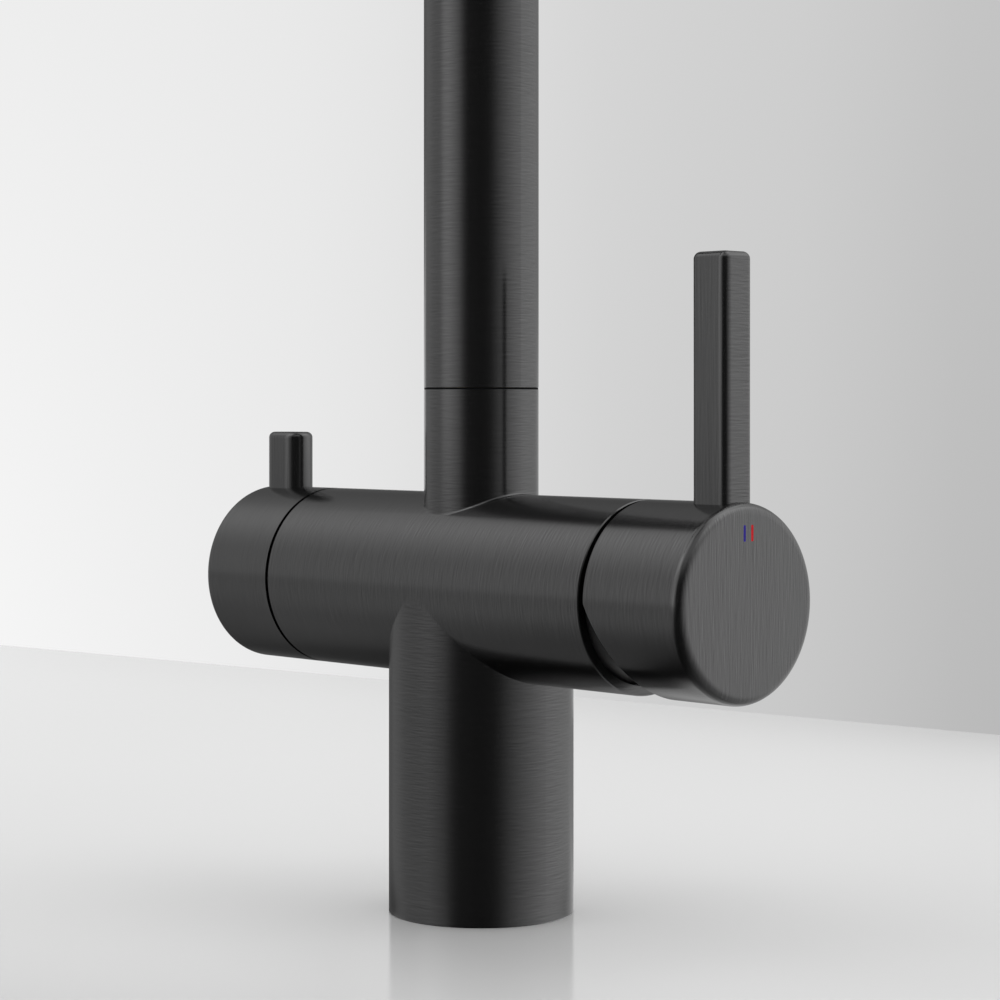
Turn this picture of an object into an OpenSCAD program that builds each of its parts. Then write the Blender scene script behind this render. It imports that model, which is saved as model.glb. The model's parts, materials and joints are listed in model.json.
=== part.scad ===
// Pull-out kitchen mixer tap.
// A round column carries a crossbar. The mixer handle turns and tilts on the crossbar's
// right end, and the handle of the filtered water valve turns on its left end. The spout
// turns on the neck above, and a nozzle pulls out of the end of its arm on a hose.
// The origin is the centre of the column's foot on the worktop, +Z is up, +X points to
// the mixer handle and -Y to the sink.

/* [Body] */
// Diameter of the column, the crossbar and both round handles
body_d = 50; // [47:0.5:56]
// Height of the crossbar's axis above the worktop
bar_z = 88; // [86:0.5:110]
// From the column's axis to the crossbar's right end
bar_right = 61.8; // [60:0.1:75]
// From the column's axis to the crossbar's left end
bar_left = 61.5; // [58:0.1:75]
// Thickness of the rim round the crossbar's open ends
bar_rim = 2.6; // [2:0.1:3.2]
// Diameter of the neck and of the spout's tube
pipe_d = 31.1; // [30:0.1:33]
// Height of the neck's rim above the worktop
neck_z = 141.05; // [138:0.05:165]

/* [Worktop fixing] */
// Thickness of the worktop that is clamped
deck_t = 30; // [4:1:44]
// Share of the column's radius that the threaded shank has
shank_share = 0.66; // [0.64:0.01:0.68]
// Wall of the shank
shank_wall = 2; // [1.6:0.1:2.4]
// Length of the shank below the column's foot
shank_below = 62; // [61:1:90]
// Length of the shank inside the column
shank_grip = 14; // [10:0.5:15]
// From the column's side to the seal under its foot
seal_inset = 2.5; // [2:0.1:3]
// Width of the seal's ring
seal_w = 3.5; // [2.5:0.1:4]
// Thickness of the seal
seal_t = 2.4; // [1.5:0.1:3]
// Width of the rings of the two washers under the worktop
washer_w = 9.5; // [9:0.25:14.5]
// Thickness of the rubber washer
rubber_t = 3; // [2:0.5:4]
// Thickness of the steel washer
steel_t = 2; // [1.5:0.5:3]
// Width of the nut's ring
nut_w = 8.5; // [8:0.1:11]
// Height of the nut
nut_h = 9; // [7:0.5:9]
// Diameter of the screws in the nut
clamp_screw_d = 5; // [4:0.5:5.5]
// Number of screws in the nut
clamp_screw_count = 3; // [2:1:4]

/* [Waterways] */
// Share of the column's radius that each tail for a hose has
tail_share = 0.14; // [0.13:0.002:0.146]
// Length of the tails below the chamber's roof
tail_l = 12; // [8:0.5:14]
// Wall of the tails
tail_wall = 1.3; // [1:0.1:1.5]
// Depth of the ports that the tails are screwed into
port_depth = 11; // [10.5:0.5:12]
// Share of the column's radius at which the ports stand round its axis
port_ring_share = 0.4; // [0.392:0.002:0.408]
// Share of the column's radius that the drilled waterways have
drill_share = 0.1; // [0.07:0.002:0.1]
// Share of the column's radius that the way for the pull-out hose has
hose_way_share = 0.26; // [0.22:0.002:0.264]
// Wall of the column round its chamber
chamber_wall = 3.5; // [3.25:0.25:5]
// Height of the chamber's roof above the worktop
chamber_z = 52; // [46:0.5:52]

/* [Spout] */
// Wall of the spout's tube
pipe_wall = 1.5; // [1.2:0.1:2]
// Height of the arm's axis above the worktop
arm_z = 345; // [260:1:420]
// Radius of the bend, on the tube's axis
bend_r = 36; // [28:1:60]
// From the column's axis to the water outlet
reach = 205; // [190:1:240]
// Length of the nozzle
nozzle_l = 86; // [80:1:110]
// From the outlet's centre to the nozzle's front
nose_l = 18; // [16:0.5:24]
// Gap between the nozzle and the arm
dock_gap = 0.6; // [0.3:0.1:1]
// Length of the nozzle's spigot inside the arm
dock_depth = 22; // [18:1:30]
// Furthest that the spout turns to each side, in degrees
swivel_angle = 75; // [30:5:80]

/* [Mixer handle] */
// Gap between the crossbar and the handle
handle_gap = 1.8; // [1.6:0.1:3]
// Length of the round handle
handle_l = 32.3; // [31:0.1:40]
// Wall of the handle's skirt
handle_wall = 2.6; // [2:0.1:3.2]
// Thickness of the handle's flat face
handle_face = 4; // [3:0.1:5]
// Radius of the edge round the flat face
face_edge_r = 2.7; // [1:0.1:3]
// Slope of the relief behind the handle's lower half, in degrees
relief_angle = 24.8; // [24.4:0.1:28]
// Width of the lever along the crossbar
lever_w = 11.7; // [9:0.1:13]
// Thickness of the lever across the crossbar
lever_t = 10.5; // [8:0.1:12]
// Height of the lever's top above the crossbar's axis
lever_rise = 86.8; // [60:0.1:120]
// From the flat face to the lever's middle
lever_inset = 8.75; // [8.5:0.05:10]
// Radius of the lever's upright edges
lever_edge_r = 2.2; // [0.5:0.1:3]
// Radius of the edges round the lever's top
lever_top_r = 1.9; // [0.5:0.1:2.1]

/* [Mixer cartridge] */
// Share of the crossbar's radius that the cartridge has
cartridge_share = 0.7; // [0.68:0.002:0.712]
// From the crossbar's end to the cartridge's seat
cartridge_depth = 35.8; // [35.4:0.1:36.2]
// From the crossbar's end to the axis that the handle tilts about
pivot_depth = 11.8; // [11.6:0.1:12]
// Width of the square stem
stem_w = 8; // [7:0.1:8.4]
// Diameter of the pin that the stem tilts on
pivot_pin_d = 3; // [2.5:0.1:3.5]
// From the pin to the ball at the stem's inner end
ball_reach = 9.5; // [9.2:0.1:9.7]
// Diameter of the ball
ball_d = 5.2; // [4.8:0.1:5.6]
// Furthest that the handle tilts, in degrees
tilt_angle = 24; // [15:1:24]
// Share of the cartridge's radius that the moving ceramic disc has
moving_disc_share = 0.6; // [0.57:0.01:0.63]
// Thickness of each ceramic disc
disc_t = 3.4; // [3:0.1:3.5]

/* [Filtered water valve] */
// Gap between the crossbar and the valve's handle
knob_gap = 1; // [0.6:0.1:1.6]
// Length of the valve's round handle
knob_l = 28; // [26:0.1:36]
// Wall of the valve handle's skirt
knob_wall = 2.8; // [2:0.1:3.2]
// Thickness of the valve handle's flat end
knob_face = 4; // [3:0.1:5]
// Radius of the edge round the flat end
knob_edge_r = 2.2; // [1:0.1:3]
// Width of the valve's lever along the crossbar
pin_w = 14.7; // [11:0.1:16]
// Thickness of the valve's lever across the crossbar
pin_t = 9.5; // [7:0.1:10.5]
// Height of the valve lever's top above the crossbar's axis
pin_rise = 41; // [34:0.5:60]
// From the flat end to the valve lever's middle
pin_inset = 8.45; // [8.4:0.05:10]
// Radius of the edges round the valve lever's top
pin_top_r = 1.75; // [0.5:0.05:2]
// Diameter of the valve's body
valve_d = 20; // [18:0.1:21]
// From the crossbar's left end to the valve's seat
valve_depth = 33.5; // [33:0.1:36]
// Diameter of the valve's spindle
spindle_d = 8; // [7:0.1:8.6]

/* [Aerator] */
// Diameter of the aerator
aerator_d = 22; // [20:0.1:22.4]
// Distance between the aerator's cells
cell_pitch = 2.5; // [2.2:0.1:2.6]
// Width of the wall between two cells
cell_wall = 0.5; // [0.4:0.05:0.8]
// Rings of cells round the middle one
cell_ring_count = 3; // [1:1:3]

/* [Fits] */
// Clearance all round a turning or sliding fit
running_gap = 0.05; // [0.02:0.01:0.1]
// Clearance all round a thread or a seated piece
seat_gap = 0.05; // [0.02:0.01:0.1]
// How far a cut runs past the surface that it opens
overrun = 1; // [0.5:0.1:2]

/* [Hidden] */
$fn = 96;
hex_fn = 6;

// Colours
anthracite = [0.16, 0.16, 0.17];
black_plastic = [0.06, 0.06, 0.06];
white_plastic = [0.85, 0.86, 0.84];
rubber = [0.1, 0.1, 0.1];
brass = [0.78, 0.62, 0.32];
steel = [0.68, 0.69, 0.7];
ceramic = [0.93, 0.92, 0.88];

// Body, worked out
body_r = body_d / 2;
pipe_r = pipe_d / 2;
mouth_r = body_r - bar_rim;
rim_chamfer = 0.25;
foot_chamfer = 0.3;
neck_joint_rise = 0.5;
neck_joint_z = bar_z + body_r + neck_joint_rise;

// Worktop fixing, worked out
shank_r = shank_share * body_r;
shank_bore_r = shank_r - shank_wall;
shank_shoulder = 4;
chamber_floor_z = shank_grip + shank_shoulder;
seal_groove_r = body_r - seal_inset;
washer_play = 1;
washer_hole_r = shank_r + washer_play;
washer_r = washer_hole_r + washer_w;
steel_top_z = -deck_t - rubber_t;
nut_stand_off = 0.8;
nut_top_z = steel_top_z - steel_t - nut_stand_off;
clamp_screw_r = clamp_screw_d / 2;
nut_r = shank_r + nut_w;
clamp_ring_r = shank_r + nut_w / 2;
clamp_screw_proud = 5;
clamp_screw_l = nut_h + clamp_screw_proud;
clamp_socket_share = 0.5;
clamp_socket_d = clamp_socket_share * clamp_screw_d;
nut_grip_r = 3;
nut_grip_depth = 2;

// Ports in the chamber's roof, as angles round the column's axis seen from above
port_angles = [-15, -65, -115, -165];
HOT = 0;
COLD = 1;
MIXED = 2;
FILTERED = 3;
port_ring_r = port_ring_share * body_r;
tail_r = tail_share * body_r;
tail_bore_r = tail_r - tail_wall;
tail_chamfer = 0.5;
tail_foot_z = chamber_z - tail_l;
port_step = 0.5;
port_r = tail_r - port_step;
port_spare = 1;
tail_root_z = chamber_z + port_depth - port_spare;
drill_r = drill_share * body_r;
drill_turn_z = chamber_z + port_depth + drill_r;
valve_drill_share = 0.8;
valve_drill_r = valve_drill_share * drill_r;
chamber_r = body_r - chamber_wall;
hose_way_r = hose_way_share * body_r;
hose_way_edge = 0.5;
hose_way_y = shank_bore_r - hose_way_r - hose_way_edge;

// Neck and spout bearing
neck_bore_r = 12.8;
neck_floor_share = 0.8;
neck_floor_z = bar_z + neck_floor_share * body_r;
slip_t = 0.5;
slip_inset = 0.1;
glide_t = 3;
glide_w = 1.5;
sleeve_play = 0.2;
sleeve_r = neck_bore_r - sleeve_play;
sleeve_bore_r = 10.3;
sleeve_floor_gap = 2;
sleeve_floor_z = neck_floor_z + sleeve_floor_gap;
sleeve_collar_l = 18;
glide_low_rise = 4;
glide_low_z = sleeve_floor_z + glide_low_rise;
glide_high_drop = 7;
glide_high_z = neck_z - glide_high_drop;
stop_screw_r = 2.5;
stop_tip_r = 2;
stop_z = (glide_low_z + glide_t + glide_high_z) / 2;
stop_groove_r = 11;
stop_groove_play = 0.2;

// Spout, worked out
spout_foot_z = neck_z + slip_t + seat_gap;
pipe_bore_r = pipe_r - pipe_wall;
nozzle_front_y = -(reach + nose_l);
nozzle_back_y = nozzle_front_y + nozzle_l;
arm_end_y = nozzle_back_y + dock_gap;
bush_wall = 1.6;
bush_r = pipe_bore_r - seat_gap;
bush_bore_r = bush_r - bush_wall;
bush_spare = 4;
bush_l = dock_depth + bush_spare;

// Nozzle, worked out
nozzle_wall = 1.6;
nozzle_bore_r = pipe_r - nozzle_wall;
nozzle_cap_t = 3;
nozzle_edge_r = 2.2;
outlet_collar_wall = 2.2;
outlet_collar_r = aerator_d / 2 + outlet_collar_wall;
outlet_drop = 2.6;
outlet_z = arm_z - pipe_r - outlet_drop;
core_r = nozzle_bore_r - seat_gap;
core_end_y = nozzle_front_y + nozzle_cap_t + seat_gap;
spigot_r = bush_bore_r - 2 * running_gap;
core_way_r = 4;
valve_pocket_r = 6;
valve_pocket_l = 12;
nipple_r = 7.5;
nipple_l = 12;
nipple_bore_r = 4;
nipple_root_r = 6.2;
nipple_root_l = 7;
aerator_r = aerator_d / 2;
aerator_lip = 1.2;
aerator_thread_l = 7;
insert_wall = 1.2;
insert_r = aerator_r - insert_wall - seat_gap;
insert_t = 4.5;
insert_ledge = 0.9;
aerator_seal_t = 1.6;

// Mixer handle, worked out
handle_x = bar_right + handle_gap;
face_x = handle_x + handle_l;
handle_bore_r = body_r - handle_wall;
boss_depth = 12.4;
boss_x = handle_x + boss_depth;
boss_r = 9;
lever_x = face_x - lever_inset;
lever_seat_share = 0.2;
lever_foot_z = bar_z + handle_bore_r + lever_seat_share * handle_wall;
lever_top_z = bar_z + lever_rise;
lever_spigot_r = 3;
lever_spigot_l = 7;
lever_rib_margin = 1.2;
stem_face_gap = 1.5;
stem_hole_end_x = face_x - handle_face - stem_face_gap;
grub_r = 2.5;
grub_l = 9;
grub_socket_d = 2.5;
grub_boss_r = 5;
grub_inset = 7;
grub_x = boss_x + grub_inset;

// Mixer cartridge, worked out
seat_x = bar_right - cartridge_depth;
pivot_x = bar_right - pivot_depth;
cartridge_r = cartridge_share * body_r;
cartridge_play = 0.5;
cartridge_bore_r = cartridge_r + cartridge_play;
cartridge_wall = 2.1;
base_t = 2.5;
base_x = seat_x + seat_gap;
base_end_x = base_x + base_t;
fixed_disc_x = base_end_x + seat_gap;
fixed_disc_r = cartridge_r - cartridge_wall - seat_gap;
moving_disc_x = fixed_disc_x + disc_t + running_gap;
driver_x = moving_disc_x + disc_t;
driver_drop = 7.4;
driver_top_x = pivot_x - driver_drop;
ball_x = pivot_x - ball_reach;
ball_r = ball_d / 2;
ball_play = 0.15;
ball_neck_r = 1.7;
disc_travel = ball_reach * sin(tilt_angle);
disc_centre_z = bar_z - disc_travel / 2;
driver_width_share = 0.5086;
driver_half_w = driver_width_share * cartridge_r;
driver_height_share = 0.4;
driver_half_h = driver_height_share * cartridge_r;
carrier_share = 0.6857;
carrier_r = carrier_share * cartridge_r;
flange_play = 0.3;
flange_x = driver_top_x + flange_play;
flange_t = 1.4;
shoulder_x = flange_x + flange_t + running_gap;
flange_r = cartridge_r - cartridge_wall - flange_play;
prong_t = 3;
prong_height_share = 0.3429;
prong_half_h = prong_height_share * cartridge_r;
stem_play = 0.1;
slot_height_share = 0.4914;
slot_half_h = slot_height_share * cartridge_r;
nut_step = 1.9;
nut_thread_r = mouth_r - nut_step;
housing_neck_share = 0.8286;
housing_neck_r = housing_neck_share * cartridge_r;
housing_top_rise = 3;
housing_top_x = pivot_x + housing_top_rise;
housing_neck_rise = 7.5;
housing_neck_end_x = pivot_x + housing_neck_rise;
carrier_rise = 8.2;
carrier_end_x = pivot_x + carrier_rise;
cartridge_nut_t = 5.3;
nut_key_w = 3;
nut_key_depth = 2.4;
nut_key_count = 4;
thread_x = pivot_x;
mouth_depth = 3.8;
mouth_x = bar_right - mouth_depth;
dome_bulge = 1.7;
dome_r = mouth_r + dome_bulge;
dome_t = 1.2;
dome_open_r = housing_neck_r;
dome_rim_r = mouth_r - seat_gap;
dome_rim_x = pivot_x + sqrt(pow(dome_r, 2) - pow(dome_rim_r, 2));
stem_end_gap = 1;
stem_end_x = stem_hole_end_x - stem_end_gap;
stem_start_reach = 5;
stem_start_x = pivot_x - stem_start_reach;
// Cartridge ports, as places across the crossbar's axis: towards +Y, then up
cartridge_port_shares = [[0.3714, -0.2857], [-0.3714, -0.2857], [0, 0.4286]];
cartridge_ports = cartridge_r * cartridge_port_shares;
seal_ring_t = 1.1;
seal_ring_w = 1.6;
moving_disc_r = moving_disc_share * cartridge_r;
disc_pocket_share = 0.3143;
disc_pocket_r = disc_pocket_share * cartridge_r;
disc_pocket_depth = 1.6;

// Filtered water valve, worked out: its places run to the left from the crossbar's end
knob_x = -(bar_left + knob_gap);
knob_end_x = knob_x - knob_l;
knob_bore_r = body_r - knob_wall;
valve_seat_x = -(bar_left - valve_depth);
valve_r = valve_d / 2;
valve_bore_r = valve_r + seat_gap;
valve_recess = 11.5;
valve_recess_x = -(bar_left - valve_recess);
valve_seal_t = 2;
valve_wall = 2;
valve_chamber_r = valve_r - valve_wall;
valve_disc_t = 2.9;
valve_disc_x = valve_seat_x - seat_gap - valve_seal_t - seat_gap;
valve_moving_x = valve_disc_x - valve_disc_t - running_gap;
spindle_plate_x = valve_moving_x - valve_disc_t;
spindle_plate_t = 3;
valve_chamber_end_x = spindle_plate_x - spindle_plate_t - running_gap;
valve_window_w = 7;
valve_window_l = 6;
valve_hex_r = 12.6;
valve_hex_l = 7;
valve_neck_r = 7;
valve_neck_inset = 0.5;
valve_neck_end_x = -(bar_left - valve_neck_inset);
spindle_r = spindle_d / 2;
knob_boss_depth = 5.5;
knob_boss_x = knob_x - knob_boss_depth;
knob_boss_r = 8.5;
spindle_face_gap = 1;
spindle_hole_end_x = knob_end_x + knob_face + spindle_face_gap;
spindle_end_gap = 1;
spindle_end_x = spindle_hole_end_x + spindle_end_gap;
pin_x = knob_end_x + pin_inset;
pin_foot_z = bar_z + knob_bore_r + lever_seat_share * knob_wall;
pin_top_z = bar_z + pin_rise;
pin_spigot_r = 2.5;
pin_spigot_l = 6;
knob_grub_inset = 5.5;
knob_grub_x = knob_boss_x - knob_grub_inset;
knob_grub_boss_r = 4.5;
knob_grub_r = 2;
knob_grub_l = 8;
half_moon_r = 5.5;
half_moon_gap = 1.5;

// Shapes of small pieces, as shares of their radius
grub_point_share = 0.3;
grub_tip_share = 0.7;
grub_socket_share = 1.2;
check_seat_share = 0.6;
check_cone_shares = [0.2, 0.45];
check_rib_shares = [0.7, 0.1];

// Shapes that repeat

// A round bar along +Z from z0 to z1
module bar(r, z0, z1) {
    translate([0, 0, z0])
        cylinder(r = r, h = z1 - z0);
}

// A round tube along +Z from z0 to z1
module tube(r, bore_r, z0, z1) {
    difference() {
        bar(r, z0, z1);
        bar(bore_r, z0 - overrun, z1 + overrun);
    }
}

// Turns +Z to +X and moves it onto the crossbar's axis
module on_bar() {
    translate([0, 0, bar_z])
        rotate([0, 90, 0])
            children();
}

// Turns +Z to -Y and moves it onto the arm's axis
module on_arm() {
    translate([0, 0, arm_z])
        rotate([90, 0, 0])
            children();
}

// A straight hole from one point to another
module drill(from, to, r) {
    way = to - from;
    translate(from)
        rotate([0, acos(way[2] / norm(way)), atan2(way[1], way[0])])
            cylinder(r = r, h = norm(way));
}

// A place on the crossbar's cross-section, as [towards +Y, up], at x along it
function across_bar(x, place) = [x, place[0], bar_z + place[1]];

// A place of a port in the chamber's roof, at height z
function port_at(i, z) = [
    port_ring_r * cos(port_angles[i]),
    port_ring_r * sin(port_angles[i]),
    z
];

// Half the outline of a round cap, its open end at 0 and its closed end at l, edge rounded
module cap_profile(r, l, edge_r) {
    square([r - edge_r, l]);
    square([r, l - edge_r]);
    translate([r - edge_r, l - edge_r])
        circle(r = edge_r);
}

// Half the section of a bar's top, from its middle outward: the upper edge is rounded
module top_profile(half_w, top_r) {
    square([half_w - top_r, top_r]);
    intersection() {
        translate([half_w - top_r, 0])
            circle(r = top_r);
        square([half_w, top_r]);
    }
}

// A bar's top along +X, rounded on both sides, its foot at z = 0
module top_run(l, half_w, top_r) {
    for (side = [0, 1]) {
        mirror([0, side, 0])
            translate([-l / 2, 0, 0])
                rotate([90, 0, 90])
                    linear_extrude(height = l)
                        top_profile(half_w, top_r);
    }
}

// The rounded top of a bar of rectangular section with round upright edges
module soft_top(w, t, edge_r, top_r) {
    inner_w = w - 2 * edge_r;
    inner_t = t - 2 * edge_r;
    top_run(inner_w, t / 2, top_r);
    if (inner_t > 0) {
        rotate([0, 0, 90])
            top_run(inner_t, w / 2, top_r);
    }
    for (x = [-1, 1], y = inner_t > 0 ? [-1, 1] : [0]) {
        translate([x * inner_w / 2, y * inner_t / 2, 0])
            rotate_extrude()
                top_profile(edge_r, top_r);
    }
}

// A six-sided bar along +Z, its size measured across the flats
module hex_bar(across, h) {
    cylinder(d = across / cos(180 / hex_fn), h = h, $fn = hex_fn);
}

// A grub screw along +Z: its socket at z1 and a point at z0
module grub(r, z0, z1, socket_d) {
    difference() {
        union() {
            bar(r, z0 + grub_point_share * r, z1);
            translate([0, 0, z0])
                cylinder(r1 = grub_tip_share * r, r2 = r, h = grub_point_share * r);
        }
        translate([0, 0, z1 - grub_socket_share * r])
            hex_bar(socket_d, grub_socket_share * r + overrun);
    }
}

// Body

// The column below the ports, brazed to the casting and brushed over
module column_tube() {
    color(anthracite)
        difference() {
            union() {
                bar(body_r, foot_chamfer, chamber_z);
                cylinder(r1 = body_r - foot_chamfer, r2 = body_r, h = foot_chamfer);
            }
            bar(shank_r + seat_gap, -overrun, shank_grip + seat_gap);
            bar(shank_bore_r, 0, chamber_z);
            bar(chamber_r, chamber_floor_z, chamber_z + overrun);
            tube(seal_groove_r, seal_groove_r - seal_w, -overrun, seal_t);
        }
}

// The neck above the crossbar, brazed to the casting
module neck_tube() {
    color(anthracite)
        difference() {
            tube(pipe_r, neck_bore_r, neck_joint_z, neck_z);
            translate([0, 0, stop_z])
                rotate([-90, 0, 0])
                    bar(stop_screw_r, 0, pipe_r + overrun);
        }
}

module body_outside() {
    bar(body_r, chamber_z, bar_z);
    on_bar() {
        bar(body_r, -bar_left + rim_chamfer, bar_right - rim_chamfer);
        translate([0, 0, bar_right - rim_chamfer])
            cylinder(r1 = body_r, r2 = body_r - rim_chamfer, h = rim_chamfer);
        translate([0, 0, -bar_left])
            cylinder(r1 = body_r - rim_chamfer, r2 = body_r, h = rim_chamfer);
    }
    bar(pipe_r, bar_z, neck_joint_z);
}

module body_column_cuts() {
    translate([0, hose_way_y, 0])
        bar(hose_way_r, chamber_z - overrun, neck_floor_z + overrun);
    bar(neck_bore_r, neck_floor_z, neck_joint_z + overrun);
    for (i = [HOT : FILTERED]) {
        translate(port_at(i, 0))
            bar(port_r, chamber_z - overrun, drill_turn_z + drill_r);
    }
}

module body_cartridge_cuts() {
    on_bar() {
        bar(cartridge_bore_r, seat_x, bar_right);
        bar(nut_thread_r + seat_gap, thread_x, bar_right);
        bar(mouth_r, mouth_x, bar_right + overrun);
    }
    for (i = [HOT : MIXED]) {
        drill(port_at(i, drill_turn_z), across_bar(seat_x + drill_r, cartridge_ports[i]), drill_r);
    }
}

module body_valve_cuts() {
    on_bar() {
        bar(valve_bore_r, -bar_left, valve_seat_x);
        bar(mouth_r, -bar_left - overrun, valve_recess_x);
    }
    drill(port_at(FILTERED, drill_turn_z), across_bar(valve_seat_x - drill_r, [0, 0]), valve_drill_r);
    drill(
        port_at(MIXED, drill_turn_z),
        across_bar(valve_chamber_end_x, [-valve_chamber_r / 2, -valve_chamber_r]),
        valve_drill_r
    );
}

module body_casting() {
    color(anthracite)
        difference() {
            body_outside();
            body_column_cuts();
            body_cartridge_cuts();
            body_valve_cuts();
        }
}

module inlet_tails() {
    color(brass)
        for (i = [HOT : FILTERED]) {
            translate(port_at(i, 0))
                difference() {
                    union() {
                        translate([0, 0, tail_foot_z])
                            cylinder(r1 = tail_r - tail_chamfer, r2 = tail_r, h = tail_chamfer);
                        bar(tail_r, tail_foot_z + tail_chamfer, chamber_z - seat_gap);
                        bar(port_r - seat_gap, chamber_z - overrun, tail_root_z);
                    }
                    bar(tail_bore_r, tail_foot_z - overrun, tail_root_z + overrun);
                }
        }
}

module slip_ring() {
    color(black_plastic)
        tube(pipe_r - slip_inset, neck_bore_r, neck_z, neck_z + slip_t);
}

module spout_retaining_screw() {
    tip_y = stop_groove_r + stop_groove_play;
    color(steel)
        translate([0, 0, stop_z])
            rotate([-90, 0, 0]) {
                difference() {
                    bar(stop_screw_r - seat_gap, neck_bore_r + seat_gap, pipe_r - 2 * slip_inset);
                    translate([0, 0, neck_bore_r + stop_tip_r / 2])
                        hex_bar(stop_tip_r, pipe_wall + overrun);
                }
                bar(stop_tip_r, tip_y, neck_bore_r + seat_gap);
            }
}

// Worktop fixing

module base_seal() {
    color(rubber)
        tube(seal_groove_r - seat_gap, seal_groove_r - seal_w + seat_gap, 0, seal_t - seat_gap);
}

module mounting_shank() {
    color(brass)
        tube(shank_r, shank_bore_r, -shank_below, shank_grip);
}

module deck_washer_rubber() {
    color(rubber)
        tube(washer_r, washer_hole_r, steel_top_z, -deck_t);
}

module deck_washer_steel() {
    color(steel)
        tube(washer_r, washer_hole_r, steel_top_z - steel_t, steel_top_z);
}

module mounting_nut() {
    color(brass)
        difference() {
            bar(nut_r, nut_top_z - nut_h, nut_top_z);
            bar(shank_r + seat_gap, nut_top_z - nut_h - overrun, nut_top_z + overrun);
            for (i = [1 : clamp_screw_count]) {
                rotate([0, 0, i * 360 / clamp_screw_count])
                    translate([clamp_ring_r, 0, 0])
                        bar(clamp_screw_r + seat_gap, nut_top_z - nut_h - overrun, nut_top_z + overrun);
            }
            for (i = [1 : 2 * clamp_screw_count]) {
                rotate([0, 0, (i - 0.5) * 180 / clamp_screw_count])
                    translate([nut_r - nut_grip_depth + nut_grip_r, 0, 0])
                        bar(nut_grip_r, nut_top_z - nut_h - overrun, nut_top_z + overrun);
            }
        }
}

module clamp_screws() {
    color(steel)
        for (i = [1 : clamp_screw_count]) {
            rotate([0, 0, i * 360 / clamp_screw_count])
                translate([clamp_ring_r, 0, steel_top_z - steel_t])
                    mirror([0, 0, 1])
                        grub(clamp_screw_r, 0, clamp_screw_l, clamp_socket_d);
        }
}

// Mixer cartridge, fixed half

module cartridge_housing() {
    color(white_plastic)
        difference() {
            on_bar()
                rotate_extrude()
                    polygon([
                        [0, base_x],
                        [cartridge_r, base_x],
                        [cartridge_r, housing_top_x],
                        [housing_neck_r, housing_top_x],
                        [housing_neck_r, housing_neck_end_x],
                        [carrier_r + running_gap, housing_neck_end_x],
                        [carrier_r + running_gap, shoulder_x],
                        [cartridge_r - cartridge_wall, shoulder_x],
                        [cartridge_r - cartridge_wall, base_end_x],
                        [0, base_end_x]
                    ]);
            for (place = cartridge_ports) {
                translate(across_bar(0, place))
                    rotate([0, 90, 0]) {
                        bar(drill_r, seat_x - overrun, base_end_x + overrun);
                        bar(drill_r + seal_ring_w + seat_gap, seat_x - overrun, base_x + seal_ring_t);
                    }
            }
        }
}

module cartridge_seals() {
    color(rubber)
        for (place = cartridge_ports) {
            translate(across_bar(0, place))
                rotate([0, 90, 0])
                    tube(drill_r + seal_ring_w, drill_r, base_x, base_x + seal_ring_t - seat_gap);
        }
}

module cartridge_fixed_disc() {
    color(ceramic)
        difference() {
            on_bar()
                bar(fixed_disc_r, fixed_disc_x, fixed_disc_x + disc_t);
            for (place = cartridge_ports) {
                translate(across_bar(0, place))
                    rotate([0, 90, 0])
                        bar(drill_r, base_x, moving_disc_x + overrun);
            }
        }
}

module cartridge_nut() {
    start_x = housing_top_x + seat_gap;
    color(brass)
        difference() {
            on_bar()
                tube(nut_thread_r, housing_neck_r + seat_gap, start_x, start_x + cartridge_nut_t);
            for (i = [1 : nut_key_count]) {
                translate([start_x + cartridge_nut_t - nut_key_depth, 0, bar_z])
                    rotate([i * 360 / nut_key_count, 0, 0])
                        translate([0, housing_neck_r - overrun, -nut_key_w / 2])
                            cube([nut_key_depth + overrun, nut_key_w + overrun, nut_key_w]);
            }
        }
}

module cartridge_dome() {
    color(black_plastic)
        on_bar()
            rotate_extrude() {
                intersection() {
                    difference() {
                        translate([0, pivot_x])
                            circle(r = dome_r);
                        translate([0, pivot_x])
                            circle(r = dome_r - dome_t);
                    }
                    translate([dome_open_r, dome_rim_x])
                        square([dome_rim_r - dome_open_r, dome_r]);
                }
                translate([dome_rim_r - dome_t, mouth_x + seat_gap])
                    square([dome_t, dome_rim_x - mouth_x - seat_gap + dome_t / 4]);
            }
}

// Mixer cartridge, moving half

// The slot that the stem swings in, cut through the flange and the carrier
module stem_slot(x0, x1) {
    translate([x0, -stem_w / 2 - stem_play, bar_z - slot_half_h])
        cube([x1 - x0, stem_w + 2 * stem_play, 2 * slot_half_h]);
}

module cartridge_carrier() {
    color(black_plastic)
        difference() {
            union() {
                on_bar() {
                    bar(carrier_r, flange_x, carrier_end_x);
                    bar(flange_r, flange_x, flange_x + flange_t);
                }
                intersection() {
                    for (side = [-1, 1]) {
                        translate([
                            moving_disc_x + disc_t + 2 * running_gap,
                            side * (driver_half_w + stem_play + prong_t / 2) - prong_t / 2,
                            bar_z - prong_half_h
                        ])
                            cube([
                                flange_x + flange_t / 2 - moving_disc_x - disc_t - 2 * running_gap,
                                prong_t,
                                2 * prong_half_h
                            ]);
                    }
                    on_bar()
                        bar(flange_r, moving_disc_x, flange_x + flange_t);
                }
            }
            stem_slot(flange_x - overrun, carrier_end_x + overrun);
            translate([pivot_x, 0, bar_z])
                rotate([90, 0, 0])
                    bar(pivot_pin_d / 2 + seat_gap / 2, -carrier_r - overrun, carrier_r + overrun);
        }
}

module cartridge_pivot_pin() {
    half_l = carrier_r - 3 * stem_play;
    color(steel)
        translate([pivot_x, 0, bar_z])
            rotate([90, 0, 0])
                bar(pivot_pin_d / 2, -half_l, half_l);
}

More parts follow.
